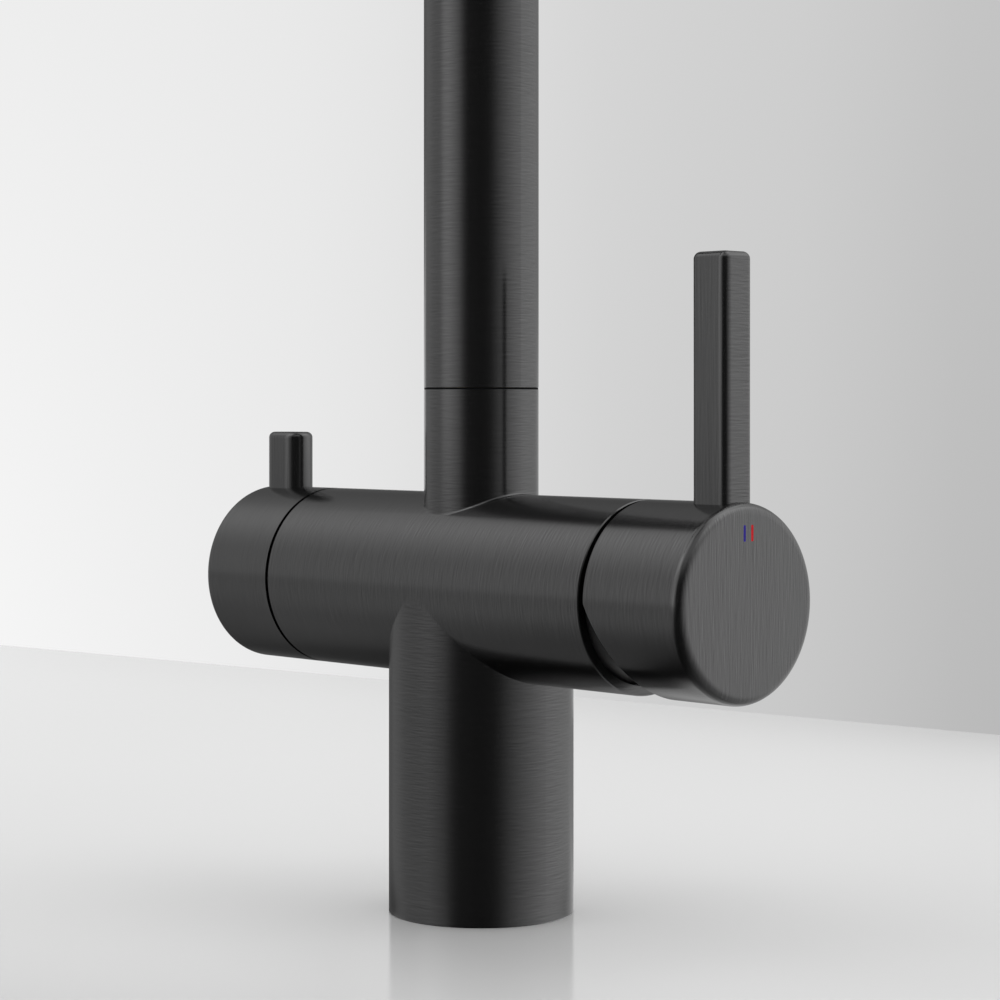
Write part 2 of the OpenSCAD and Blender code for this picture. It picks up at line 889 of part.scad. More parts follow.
module cartridge_moving_disc() {
    color(ceramic)
        translate([0, 0, disc_centre_z])
            rotate([0, 90, 0])
                difference() {
                    bar(moving_disc_r, moving_disc_x, moving_disc_x + disc_t);
                    bar(disc_pocket_r, moving_disc_x - overrun, moving_disc_x + disc_pocket_depth);
                }
}

module disc_driver() {
    color(white_plastic)
        difference() {
            translate([driver_x, -driver_half_w, disc_centre_z - driver_half_h])
                cube([driver_top_x - driver_x, 2 * driver_half_w, 2 * driver_half_h]);
            on_bar()
                bar(ball_r + ball_play, ball_x - ball_r - ball_play, driver_top_x + overrun);
        }
}

module cartridge_stem() {
    color(steel)
        difference() {
            union() {
                translate([stem_start_x, -stem_w / 2, bar_z - stem_w / 2])
                    cube([stem_end_x - stem_start_x, stem_w, stem_w]);
                on_bar()
                    bar(ball_neck_r, ball_x, pivot_x - pivot_pin_d);
                translate([ball_x, 0, bar_z])
                    sphere(r = ball_r);
            }
            translate([pivot_x, 0, bar_z])
                rotate([90, 0, 0])
                    bar(pivot_pin_d / 2 + running_gap, -stem_w, stem_w);
        }
}

// Mixer handle

// The space that the relief takes away below the crossbar's axis
module relief_cut() {
    depth = body_r + overrun;
    translate([0, 0, bar_z])
        rotate([90, 0, 0])
            linear_extrude(height = 2 * depth, center = true)
                polygon([
                    [handle_x - overrun, 0],
                    [handle_x, 0],
                    [handle_x + depth * tan(relief_angle), -depth],
                    [handle_x - overrun, -depth]
                ]);
}

module lever_handle() {
    rib_w = lever_w - 2 * lever_edge_r + 2 * lever_rib_margin;
    color(anthracite)
        difference() {
            union() {
                difference() {
                    on_bar()
                        translate([0, 0, handle_x])
                            rotate_extrude()
                                cap_profile(body_r, handle_l, face_edge_r);
                    on_bar()
                        bar(handle_bore_r, handle_x - overrun, face_x - handle_face);
                    relief_cut();
                }
                on_bar()
                    bar(boss_r, boss_x, face_x - handle_face / 2);
                translate([lever_x - rib_w / 2, -lever_t / 2, bar_z])
                    cube([rib_w, lever_t, handle_bore_r + handle_wall / 2]);
                translate([grub_x, 0, bar_z - handle_bore_r - handle_wall / 2])
                    cylinder(r = grub_boss_r, h = handle_bore_r);
            }
            translate([boss_x - overrun, -stem_w / 2 - seat_gap, bar_z - stem_w / 2 - seat_gap])
                cube([
                    stem_hole_end_x - boss_x + overrun,
                    stem_w + 2 * seat_gap,
                    stem_w + 2 * seat_gap
                ]);
            translate([lever_x, 0, lever_foot_z])
                linear_extrude(height = body_r)
                    lever_section(seat_gap);
            translate([lever_x, 0, 0])
                bar(lever_spigot_r + seat_gap, lever_foot_z - lever_spigot_l - seat_gap, bar_z + body_r);
            translate([grub_x, 0, bar_z])
                mirror([0, 0, 1])
                    bar(grub_r + seat_gap, 0, body_r + overrun);
        }
}

// The lever's cross-section, grown by margin all round
module lever_section(margin) {
    w = lever_w / 2 - lever_edge_r;
    t = lever_t / 2 - lever_edge_r;
    square([2 * w + 2 * lever_edge_r + 2 * margin, 2 * t], center = true);
    square([2 * w, 2 * t + 2 * lever_edge_r + 2 * margin], center = true);
    for (x = [-w, w], y = [-t, t]) {
        translate([x, y])
            circle(r = lever_edge_r + margin);
    }
}

module lever_bar() {
    color(anthracite)
        translate([lever_x, 0, 0]) {
            translate([0, 0, lever_foot_z])
                linear_extrude(height = lever_top_z - lever_top_r - lever_foot_z)
                    lever_section(0);
            translate([0, 0, lever_top_z - lever_top_r])
                soft_top(lever_w, lever_t, lever_edge_r, lever_top_r);
            bar(lever_spigot_r, lever_foot_z - lever_spigot_l, lever_foot_z + overrun);
        }
}

module handle_grub_screw() {
    color(steel)
        translate([grub_x, 0, bar_z])
            mirror([0, 0, 1])
                grub(grub_r, stem_w / 2, stem_w / 2 + grub_l, grub_socket_d);
}

// Filtered water valve

module valve_housing() {
    color(brass)
        difference() {
            on_bar()
                union() {
                    bar(valve_r, valve_recess_x - overrun, valve_seat_x - seat_gap);
                    translate([0, 0, valve_recess_x - seat_gap - valve_hex_l])
                        cylinder(r = valve_hex_r, h = valve_hex_l, $fn = hex_fn);
                    bar(valve_neck_r, valve_neck_end_x, valve_recess_x);
                }
            on_bar() {
                bar(valve_chamber_r, valve_chamber_end_x, valve_seat_x);
                bar(spindle_r + running_gap, valve_neck_end_x - overrun, valve_seat_x);
            }
            translate([
                valve_chamber_end_x,
                -valve_r - overrun,
                bar_z - valve_window_w / 2
            ])
                cube([valve_window_l, 2 * (valve_r + overrun), valve_window_w]);
        }
}

module valve_seal() {
    end_x = valve_seat_x - seat_gap;
    color(rubber)
        on_bar()
            tube(valve_chamber_r - seat_gap, valve_chamber_r / 2, end_x - valve_seal_t, end_x);
}

// A ceramic disc with two half-moon openings, from x0 to x1
module half_moon_disc(x0, x1, openings) {
    on_bar()
        difference() {
            bar(valve_chamber_r - seat_gap, x0, x1);
            intersection() {
                bar(half_moon_r, x0 - overrun, x1 + overrun);
                for (side = openings) {
                    translate([side * (half_moon_r + half_moon_gap), 0, x0 - overrun])
                        translate([-half_moon_r, -half_moon_r, 0])
                            cube([2 * half_moon_r, 2 * half_moon_r, x1 - x0 + 2 * overrun]);
                }
            }
        }
}

module valve_fixed_disc() {
    color(ceramic)
        half_moon_disc(valve_disc_x - valve_disc_t, valve_disc_x, [-1, 1]);
}

module valve_moving_disc() {
    color(ceramic)
        rotate_about_bar(90)
            half_moon_disc(valve_moving_x - valve_disc_t, valve_moving_x, [-1, 1]);
}

// Turns its children about the crossbar's axis
module rotate_about_bar(angle) {
    translate([0, 0, bar_z])
        rotate([angle, 0, 0])
            translate([0, 0, -bar_z])
                children();
}

module valve_spindle() {
    color(brass)
        on_bar() {
            bar(valve_chamber_r - seat_gap, spindle_plate_x - spindle_plate_t, spindle_plate_x);
            bar(spindle_r, spindle_end_x, spindle_plate_x - spindle_plate_t / 2);
        }
}

module valve_handle() {
    rib_w = pin_w - pin_t + 2 * lever_rib_margin;
    color(anthracite)
        difference() {
            union() {
                difference() {
                    on_bar()
                        translate([0, 0, knob_x])
                            mirror([0, 0, 1])
                                rotate_extrude()
                                    cap_profile(body_r, knob_l, knob_edge_r);
                    on_bar()
                        bar(knob_bore_r, knob_end_x + knob_face, knob_x + overrun);
                }
                on_bar()
                    bar(knob_boss_r, knob_end_x + knob_face / 2, knob_boss_x);
                translate([pin_x - rib_w / 2, -pin_t / 2, bar_z])
                    cube([rib_w, pin_t, knob_bore_r + knob_wall / 2]);
                translate([knob_grub_x, 0, bar_z - knob_bore_r - knob_wall / 2])
                    cylinder(r = knob_grub_boss_r, h = knob_bore_r);
            }
            on_bar()
                bar(spindle_r + seat_gap, spindle_hole_end_x, knob_boss_x + overrun);
            translate([pin_x, 0, pin_foot_z])
                linear_extrude(height = body_r)
                    pin_section(seat_gap);
            translate([pin_x, 0, 0])
                bar(pin_spigot_r + seat_gap, pin_foot_z - pin_spigot_l - seat_gap, bar_z + body_r);
            translate([knob_grub_x, 0, bar_z])
                mirror([0, 0, 1])
                    bar(knob_grub_r + seat_gap, 0, body_r + overrun);
        }
}

// The cross-section of the valve's lever, a slot with round ends, grown by margin all round
module pin_section(margin) {
    half = (pin_w - pin_t) / 2;
    square([2 * half, pin_t + 2 * margin], center = true);
    for (x = [-half, half]) {
        translate([x, 0])
            circle(r = pin_t / 2 + margin);
    }
}

module valve_lever() {
    color(anthracite)
        translate([pin_x, 0, 0]) {
            translate([0, 0, pin_foot_z])
                linear_extrude(height = pin_top_z - pin_top_r - pin_foot_z)
                    pin_section(0);
            translate([0, 0, pin_top_z - pin_top_r])
                soft_top(pin_w, pin_t, pin_t / 2, pin_top_r);
            bar(pin_spigot_r, pin_foot_z - pin_spigot_l, pin_foot_z + overrun);
        }
}

module valve_grub_screw() {
    color(steel)
        translate([knob_grub_x, 0, bar_z])
            mirror([0, 0, 1])
                grub(knob_grub_r, spindle_r, spindle_r + knob_grub_l, knob_grub_r);
}

// Spout

// The arm's and riser's shape at radius r, from the foot to the arm's end
module spout_run(r, foot_z, end_y) {
    bar(r, foot_z, arm_z - bend_r);
    translate([0, -bend_r, arm_z - bend_r])
        rotate([90, 0, 90])
            rotate_extrude(angle = 90)
                translate([bend_r, 0])
                    circle(r = r);
    on_arm()
        bar(r, bend_r, -end_y);
}

module spout_tube() {
    color(anthracite)
        difference() {
            spout_run(pipe_r, spout_foot_z, arm_end_y);
            spout_run(pipe_bore_r, spout_foot_z - overrun, arm_end_y - overrun);
        }
}

module swivel_sleeve() {
    stop_span = swivel_angle + asin((stop_tip_r + stop_groove_play) / stop_groove_r);
    color(brass)
        difference() {
            union() {
                bar(sleeve_r, sleeve_floor_z, spout_foot_z);
                bar(pipe_bore_r - seat_gap, spout_foot_z, spout_foot_z + sleeve_collar_l);
            }
            bar(sleeve_bore_r, sleeve_floor_z - overrun, spout_foot_z + sleeve_collar_l + overrun);
            for (z = [glide_low_z, glide_high_z]) {
                tube(sleeve_r + overrun, neck_bore_r - glide_w, z, z + glide_t);
            }
            rotate([0, 0, 90 - stop_span])
                rotate_extrude(angle = 2 * stop_span)
                    translate([stop_groove_r, stop_z - stop_tip_r - stop_groove_play])
                        square([sleeve_r, 2 * (stop_tip_r + stop_groove_play)]);
        }
}

module glide_ring(z) {
    inner_r = neck_bore_r - glide_w + seat_gap;
    color(white_plastic)
        tube(neck_bore_r - running_gap, inner_r, z + seat_gap, z + glide_t - seat_gap);
}

module glide_ring_lower() {
    glide_ring(glide_low_z);
}

module glide_ring_upper() {
    glide_ring(glide_high_z);
}

module docking_bush() {
    color(black_plastic)
        on_arm()
            tube(bush_r, bush_bore_r, -arm_end_y - bush_l, -arm_end_y - seat_gap);
}

// Nozzle

module nozzle_shell() {
    color(anthracite)
        difference() {
            union() {
                on_arm()
                    translate([0, 0, -nozzle_back_y])
                        rotate_extrude()
                            cap_profile(pipe_r, nozzle_l, nozzle_edge_r);
                translate([0, -reach, 0])
                    bar(outlet_collar_r, outlet_z, arm_z);
            }
            on_arm()
                bar(nozzle_bore_r, -nozzle_back_y - overrun, nozzle_l - nozzle_back_y - nozzle_cap_t);
            translate([0, -reach, 0])
                bar(aerator_r + seat_gap, outlet_z - overrun, arm_z);
        }
}

module nozzle_core() {
    color(white_plastic)
        difference() {
            on_arm() {
                bar(core_r, -nozzle_back_y, -core_end_y);
                bar(spigot_r, -nozzle_back_y - dock_depth, -nozzle_back_y + overrun);
            }
            on_arm() {
                bar(core_way_r, -nozzle_back_y - dock_depth - overrun, reach);
                bar(
                    nipple_root_r + seat_gap,
                    -nozzle_back_y - dock_depth - overrun,
                    -nozzle_back_y - dock_depth + nipple_root_l + seat_gap
                );
                bar(
                    valve_pocket_r,
                    -nozzle_back_y - dock_depth + nipple_root_l,
                    -nozzle_back_y - dock_depth + nipple_root_l + valve_pocket_l
                );
            }
            translate([0, -reach, 0])
                bar(aerator_r + seat_gap, outlet_z - overrun, arm_z);
        }
}

module hose_nipple() {
    start = -nozzle_back_y - dock_depth;
    color(brass)
        on_arm()
            difference() {
                union() {
                    bar(nipple_r, start - nipple_l, start - seat_gap);
                    bar(nipple_root_r, start - overrun, start + nipple_root_l);
                }
                bar(nipple_bore_r, start - nipple_l - overrun, start + nipple_root_l + overrun);
            }
}

module check_valve() {
    start = -nozzle_back_y - dock_depth + nipple_root_l + seat_gap;
    length = valve_pocket_l - 2 * seat_gap;
    cone = check_cone_shares * valve_pocket_r;
    rib = check_rib_shares * valve_pocket_r;
    color(black_plastic)
        on_arm() {
            tube(valve_pocket_r - seat_gap, check_seat_share * valve_pocket_r, start, start + length);
            translate([0, 0, start + length / 2])
                cylinder(r1 = cone[0], r2 = cone[1], h = length / 3);
            for (turn = [0, 90]) {
                rotate([0, 0, turn])
                    translate([-rib[0], -rib[1], start + length / 3])
                        cube([2 * rib[0], 2 * rib[1], length / 3]);
            }
        }
}

module aerator_ring() {
    color(anthracite)
        translate([0, -reach, outlet_z])
            difference() {
                union() {
                    bar(aerator_r, 0, aerator_thread_l);
                    bar(outlet_collar_r - aerator_lip / 2, -aerator_lip, -seat_gap);
                    bar(aerator_r, -aerator_lip / 2, 0);
                }
                bar(aerator_r - insert_wall, 0, aerator_thread_l + overrun);
                bar(aerator_r - insert_wall - insert_ledge, -aerator_lip - overrun, overrun);
            }
}

// A place in the aerator's pattern of cells, counted along two directions 60 degrees apart
function cell_at(i, j) = [
    cell_pitch * (i + j / 2),
    cell_pitch * j * sin(60)
];

module aerator_insert() {
    color(white_plastic)
        translate([0, -reach, outlet_z])
            difference() {
                bar(insert_r, seat_gap, insert_t);
                for (
                    i = [-cell_ring_count : cell_ring_count],
                    j = [-cell_ring_count : cell_ring_count]
                ) {
                    if (abs(i + j) <= cell_ring_count) {
                        translate(cell_at(i, j))
                            rotate([0, 0, 30])
                                translate([0, 0, -overrun])
                                    hex_bar(cell_pitch - cell_wall, insert_t + 2 * overrun);
                    }
                }
            }
}

module aerator_seal() {
    top_z = outlet_z + aerator_thread_l;
    color(rubber)
        translate([0, -reach, 0])
            tube(aerator_r - seat_gap, aerator_r - insert_wall, top_z, top_z + aerator_seal_t);
}

column_tube();
body_casting();
neck_tube();
base_seal();
mounting_shank();
deck_washer_rubber();
deck_washer_steel();
mounting_nut();
clamp_screws();
slip_ring();
spout_retaining_screw();
cartridge_housing();
cartridge_seals();
cartridge_fixed_disc();
cartridge_nut();
cartridge_dome();
valve_housing();
valve_seal();
valve_fixed_disc();
inlet_tails();
spout_tube();
swivel_sleeve();
glide_ring_lower();
glide_ring_upper();
docking_bush();
nozzle_shell();
nozzle_core();
hose_nipple();
check_valve();
aerator_ring();
aerator_insert();
aerator_seal();
cartridge_carrier();
cartridge_pivot_pin();
cartridge_moving_disc();
disc_driver();
cartridge_stem();
lever_handle();
lever_bar();
handle_grub_screw();
valve_spindle();
valve_moving_disc();
valve_handle();
valve_lever();
valve_grub_screw();
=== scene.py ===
"""Studio picture of the pull-out kitchen mixer tap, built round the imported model.

Everything is in metres in the model's own frame: +Z up the column, +X to the mixer handle,
-Y to the sink. The camera stands level in front of the right-hand end of the crossbar.
"""

import json
import math

import bpy
import numpy as np
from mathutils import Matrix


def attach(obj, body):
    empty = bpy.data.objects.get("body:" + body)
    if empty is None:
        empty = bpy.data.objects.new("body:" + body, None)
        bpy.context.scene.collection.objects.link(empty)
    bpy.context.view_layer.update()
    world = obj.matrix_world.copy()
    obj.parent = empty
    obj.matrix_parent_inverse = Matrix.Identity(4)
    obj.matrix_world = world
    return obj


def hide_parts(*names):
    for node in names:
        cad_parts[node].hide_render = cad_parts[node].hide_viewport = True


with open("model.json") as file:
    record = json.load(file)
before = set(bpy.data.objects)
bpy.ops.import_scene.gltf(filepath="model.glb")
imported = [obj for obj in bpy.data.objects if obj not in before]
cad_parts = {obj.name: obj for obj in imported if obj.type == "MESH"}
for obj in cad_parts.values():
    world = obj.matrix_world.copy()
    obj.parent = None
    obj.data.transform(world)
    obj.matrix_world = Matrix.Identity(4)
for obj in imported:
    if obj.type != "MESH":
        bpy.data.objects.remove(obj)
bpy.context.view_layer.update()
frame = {"nodes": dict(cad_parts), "record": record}

# Main sizes of the tap, as in the model
BODY_R = 0.025
BAR_Z = 0.088
PIPE_R = 0.01555
FACE_X = 0.0959
KNOB_END_X = -0.0905
NOZZLE_END_Y = -0.223
BEND_R = 0.036
BEND_Z = 0.309
# Past this x lies the lever's outer side
LEVER_END_X = 0.0927
# How far the lines of a flat face run on over its rounded edge
EDGE_R = 0.0006

DEGREES = 180.0 / math.pi
WHITE = (1.0, 1.0, 1.0)

# Camera: the view's azimuth, the eye's place, the focal length in mm for a 36 mm sensor and
# the shift that lifts the horizon over the middle of the picture
AZIMUTH = math.radians(46.64)
EYE = (0.5230, -0.4869, 0.13725)
FOCAL = 94.95
HORIZON_SHIFT = -0.0964
# Level directions from the column's axis
TOWARDS_EYE = (0.7271, -0.6866)
TO_THE_RIGHT = (0.6866, 0.7271)


# Shader graphs

class Val:
    """A number in a shader graph. Arithmetic on it adds Math nodes."""

    def __init__(self, graph, socket):
        self.graph = graph
        self.socket = socket

    def math(self, operation, *others):
        """The result of a Math node on this number and the others."""
        node = self.graph.add("ShaderNodeMath", {"operation": operation}, [self, *others])
        return Val(self.graph, node.outputs[0])

    def __add__(self, other):
        return self.math("ADD", other)

    def __radd__(self, other):
        return self.math("ADD", other)

    def __sub__(self, other):
        return self.math("SUBTRACT", other)

    def __rsub__(self, other):
        return (self * -1.0).math("ADD", other)

    def __mul__(self, other):
        return self.math("MULTIPLY", other)

    def __rmul__(self, other):
        return self.math("MULTIPLY", other)

    def __truediv__(self, other):
        return self.math("DIVIDE", other)

    def __rtruediv__(self, other):
        return self.math("POWER", -1.0) * other

    def __neg__(self):
        return self * -1.0

    def __abs__(self):
        return self.math("ABSOLUTE")

    def least(self, other):
        return self.math("MINIMUM", other)

    def most(self, other):
        return self.math("MAXIMUM", other)

    def above(self, other):
        return self.math("GREATER_THAN", other)

    def below(self, other):
        return self.math("LESS_THAN", other)

    def root(self):
        return self.math("SQRT")

    def angle(self, other):
        return self.math("ARCTAN2", other)

    def step(self, low, high):
        """0 below low, 1 above high and a smooth rise between them."""
        node = self.graph.add(
            "ShaderNodeMapRange",
            {"interpolation_type": "SMOOTHSTEP"},
            {"Value": self, "From Min": low, "From Max": high},
        )
        return Val(self.graph, node.outputs[0])

    def pick(self, when_one, when_zero):
        """The first value where this number is 1 and the second where it is 0."""
        return self * when_one + (1.0 - self) * when_zero


class Graph:
    """A node tree that is built by one method."""

    def __init__(self, tree):
        self.tree = tree
        tree.nodes.clear()

    def add(self, kind, settings=None, inputs=None):
        """Adds a node, sets its settings and fills its inputs by name or by place."""
        node = self.tree.nodes.new(kind)
        for key, value in (settings or {}).items():
            setattr(node, key, value)
        items = inputs.items() if isinstance(inputs, dict) else enumerate(inputs or [])
        for key, value in items:
            socket = node.inputs[key]
            if isinstance(value, Val):
                self.tree.links.new(value.socket, socket)
            elif isinstance(value, bpy.types.NodeSocket):
                self.tree.links.new(value, socket)
            else:
                socket.default_value = value
        return node

    def place(self, output="Object"):
        """The three coordinates of the point that is shaded."""
        coordinates = self.add("ShaderNodeTexCoord")
        split = self.add("ShaderNodeSeparateXYZ", inputs=[coordinates.outputs[output]])
        return [Val(self, socket) for socket in split.outputs]

    def noise(self, vector, detail=2.0, roughness=0.5):
        """Soft noise from 0 to 1 at a place given by three numbers."""
        join = self.add("ShaderNodeCombineXYZ", inputs=list(vector))
        node = self.add(
            "ShaderNodeTexNoise",
            inputs={
                "Vector": join.outputs[0],
                "Scale": 1.0,
                "Detail": detail,
                "Roughness": roughness,
            },
        )
        return Val(self, node.outputs["Fac"])

    def ramp(self, value, stops, low=0.0, high=1.0):
        """A grey level read from a list of (place, level), joined by straight lines."""
        top = max(level for _, level in stops)
        share = (value - low) / (high - low)
        node = self.add("ShaderNodeValToRGB", inputs={"Fac": share})
        band = node.color_ramp
        while len(band.elements) < len(stops):
            band.elements.new(0.5)
        for element, (at, level) in zip(band.elements, stops):
            element.position = (at - low) / (high - low)
            grey = level / top
            element.color = (grey, grey, grey, 1.0)
        return Val(self, node.outputs["Color"]) * top

    def tint(self, colour, level):
        """A colour times a number."""
        node = self.add(
            "ShaderNodeVectorMath",
            {"operation": "SCALE"},
            {"Vector": colour, "Scale": level},
        )
        return node.outputs[0]

    def surface(self, shader):
        """Ends the tree in the given shader."""
        self.add("ShaderNodeOutputMaterial", inputs={"Surface": shader})


def new_material(name):
    """An empty material and its graph."""
    material = bpy.data.materials.new(name)
    material.use_nodes = True
    return material, Graph(material.node_tree)


def finish_metal(graph, colour, rough, height, distance):
    """The metal's shader, from its colour, its roughness and the bumps' height."""
    bump = graph.add(
        "ShaderNodeBump",
        inputs={"Strength": 1.0, "Distance": distance, "Height": height},
    )
    shader = graph.add(
        "ShaderNodeBsdfPrincipled",
        inputs={
            "Base Color": colour,
            "Metallic": METALLIC,
            "Roughness": rough,
            "Normal": bump.outputs[0],
        },
    )
    graph.surface(shader.outputs[0])


METALLIC = 0.97
ANTHRACITE = (0.1015, 0.1015, 0.102)

# The brushed lines: cells per metre along the axis and round it, the step between the two
# noises in cells, the lines' height and how much they change the tone
LINES_ALONG = 2500.0
LINES_ROUND = 190.0
LINE_STEP = 0.75
LINE_HEIGHT = 0.0000025
LINE_TONE = 0.6
# Broader changes of tone along the axis and round it
BROAD_ALONG = 620.0
BROAD_ROUND = 60.0
BROAD_TONE = 0.16


def streaks(graph, along, side, other, short=1.0, depth=1.0, shine=1.0):
    """Brushed lines: the metal's tone, near 1, and the height of the lines, near 0.

    They change quickly along one coordinate and slowly along the other two, and a short below 1
    makes them longer. The lines are one noise less the same noise a line's width further on,
    which leaves no wide bands in them.
    """
    a, b = side * short, other * short
    place = [along * BROAD_ALONG, a * BROAD_ROUND, b * BROAD_ROUND]
    broad = graph.noise(place, detail=3.0, roughness=0.6)
    start, a, b = along * LINES_ALONG, a * LINES_ROUND, b * LINES_ROUND
    here = graph.noise([start, a, b], detail=1.0)
    beside = graph.noise([start + LINE_STEP, a, b], detail=1.0)
    lines = (here - beside) * depth
    tone = (1.0 + (broad - 0.5) * BROAD_TONE + lines * LINE_TONE) * shine
    return tone, lines


def mix_streaks(mask, first, second):
    """The first tone and lines where the mask is 1, the second where it is 0."""
    return [mask.pick(a, b) for a, b in zip(first, second)]


def brushed(name, lay):
    """Dark brushed metal. lay gives the tone and the lines from the coordinates."""
    material, graph = new_material(name)
    x, y, z = graph.place()
    tone, lines = lay(graph, x, y, z)
    cloud = graph.noise([x * 30.0, y * 30.0, z * 30.0], detail=2.0)
    rough = 0.18 + lines * 0.06 + (cloud - 0.5) * 0.03
    finish_metal(graph, graph.tint(ANTHRACITE, tone), rough, lines, LINE_HEIGHT)
    return material


def lay_upright(graph, x, y, z):
    """Round an upright tube."""
    return streaks(graph, z, x, y)


def lay_body(graph, x, y, z):
    """Round the crossbar on the crossbar and round the column everywhere else."""
    rise = z - BAR_Z
    off_bar = abs((y * y + rise * rise).root() - BODY_R)
    on_bar = off_bar.below(0.0002)
    return mix_streaks(on_bar, streaks(graph, x, y, z, depth=1.2), streaks(graph, z, x, y))


def lay_spout(graph, x, y, z):
    """Round the tube: s runs up the riser, round the bend and out along the arm."""
    up = (z - BEND_Z).most(0.0)
    back = (y + BEND_R).most(0.0)
    s = z.least(BEND_Z) + up.angle(back) * BEND_R + (-(y + BEND_R)).most(0.0)
    return streaks(graph, s, x, y + z)


def lay_arm(graph, x, y, z):
    """Round the nozzle, which runs along y, and upright on its flat end."""
    on_end = y.below(NOZZLE_END_Y + EDGE_R)
    end = streaks(graph, x, z, y, short=0.6, depth=1.15)
    return mix_streaks(on_end, end, streaks(graph, y, x, z))


def lay_handle(graph, x, y, z):
    """Round the skirt, and upright on the flat face, whose tone is 1.12 times lighter."""
    on_face = x.above(FACE_X - EDGE_R)
    face = streaks(graph, y, z, x, short=0.6, depth=1.15, shine=1.12)
    return mix_streaks(on_face, face, streaks(graph, x, y, z))


def lay_knob(graph, x, y, z):
    """Round the knob, and upright on its flat end."""
    on_end = x.below(KNOB_END_X + EDGE_R)
    end = streaks(graph, y, z, x, short=0.6, depth=1.15)
    return mix_streaks(on_end, end, streaks(graph, x, y, z))


def lay_lever(graph, x, y, z):
    """Upright on the sides, and across on the side that faces away from the crossbar."""
    on_end = x.above(LEVER_END_X)
    sides = streaks(graph, x, z, y, short=0.4, depth=0.9)
    return mix_streaks(on_end, streaks(graph, z, y, x), sides)


def moulded(name, colour, rough, grain, roughness_change, shine=0.5):
    """Moulded plastic or rubber: a fine grain and slow changes of gloss."""
    material, graph = new_material(name)
    x, y, z = graph.place()
    cloud = graph.noise([x * 90.0, y * 90.0, z * 90.0], detail=3.0)
    pits = graph.noise([x * 5200.0, y * 5200.0, z * 5200.0], detail=2.0)
    bump = graph.add(
        "ShaderNodeBump",
        inputs={"Strength": 1.0, "Distance": grain, "Height": pits},
    )
    shader = graph.add(
        "ShaderNodeBsdfPrincipled",
        inputs={
            "Base Color": graph.tint(colour, 0.92 + cloud * 0.16),
            "Roughness": rough + (cloud - 0.5) * roughness_change,
            "Specular IOR Level": shine,
            "Normal": bump.outputs[0],
        },
    )
    graph.surface(shader.outputs[0])
    return material


def turned(name, colour, rough):
    """Turned metal: fine tool marks round the piece and a slow change of tone."""
    material, graph = new_material(name)
    x, y, z = graph.place()
    cloud = graph.noise([x * 60.0, y * 60.0, z * 60.0], detail=3.0)
    marks = graph.noise([x * 300.0, y * 300.0, z * 4200.0], detail=2.0)
    finish_metal(
        graph,
        graph.tint(colour, 0.86 + cloud * 0.18 + marks * 0.10),
        rough + (marks - 0.5) * 0.16,
        marks,
        0.000006,
    )
    return material


MATERIALS = {
    "upright": brushed("brushed_upright", lay_upright),
    "body": brushed("brushed_body", lay_body),
    "knob": brushed("brushed_knob", lay_knob),
    "spout": brushed("brushed_spout", lay_spout),
    "arm": brushed("brushed_arm", lay_arm),
    "handle": brushed("brushed_handle", lay_handle),
    "lever": brushed("brushed_lever", lay_lever),
    "black_plastic": moulded("black_moulding", (0.03, 0.03, 0.03), 0.42, 0.00001, 0.2),
    "white_plastic": moulded("white_moulding", (0.82, 0.83, 0.81), 0.38, 0.000006, 0.15),
    "rubber": moulded("rubber_ring", (0.05, 0.05, 0.05), 0.7, 0.00002, 0.2),
    "ceramic": moulded("polished_ceramic", (0.9, 0.89, 0.86), 0.08, 0.000001, 0.06),
    # Black plastic made darker and duller than the ring itself: painted shade in the seam
    # between crossbar and handle
    "black_gap_shade_ring": moulded("black_gap_shade_ring_moulding", (0.006, 0.006, 0.006), 0.7, 0.00001, 0.2, 0.03),
    "brass": turned("turned_brass", (0.76, 0.6, 0.32), 0.28),
    "steel": turned("plain_steel", (0.62, 0.63, 0.64), 0.3),
    "black_steel": turned("blackened_steel", (0.11, 0.11, 0.11), 0.32),
}

# What these nodes are finished with. The others take the material of their slot.
FINISHES = {
    "body_casting": "body",
    "column_tube": "upright",
    # The slip ring's seam takes the painted shade
    "slip_ring": "black_gap_shade_ring",
    "neck_tube": "upright",
    "spout_tube": "spout",
    "nozzle_shell": "arm",
    "aerator_ring": "upright",
    "lever_handle": "handle",
    "lever_bar": "lever",
    "valve_handle": "knob",
    "valve_lever": "lever",
    "spout_retaining_screw": "black_steel",
    "handle_grub_screw": "black_steel",
    "valve_grub_screw": "black_steel",
}

for part in frame["record"]["subparts"]:
    surfaces = frame["nodes"][part["node"]].data.materials
    surfaces.clear()
    surfaces.append(MATERIALS[FINISHES.get(part["node"], part["material_slot"])])


# Pieces

def sheet_object(name, points, wrap_u=False, wrap_v=False, material=None, body=None, flip=False):
    """A mesh from a grid of points, points[u][v] = (x, y, z), joined round where it wraps."""
    rows, columns = points.shape[:2]
    u = np.arange(rows if wrap_u else rows - 1)
    v = np.arange(columns if wrap_v else columns - 1)
    a, b = np.meshgrid(u, v, indexing="ij")
    c, d = (a + 1) % rows, (b + 1) % columns
    faces = np.stack([a * columns + b, c * columns + b, c * columns + d, a * columns + d], -1)
    faces = faces.reshape(-1, 4)
    if flip:
        faces = faces[:, ::-1]
    mesh = bpy.data.meshes.new(name)
    mesh.from_pydata(points.reshape(-1, 3).tolist(), [], faces.tolist())
    mesh.polygons.foreach_set("use_smooth", [True] * len(faces))
    mesh.update()
    piece = bpy.data.objects.new(name, mesh)
    bpy.context.collection.objects.link(piece)
    if material:
        mesh.materials.append(material)
    if body:
        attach(piece, body)
    return piece


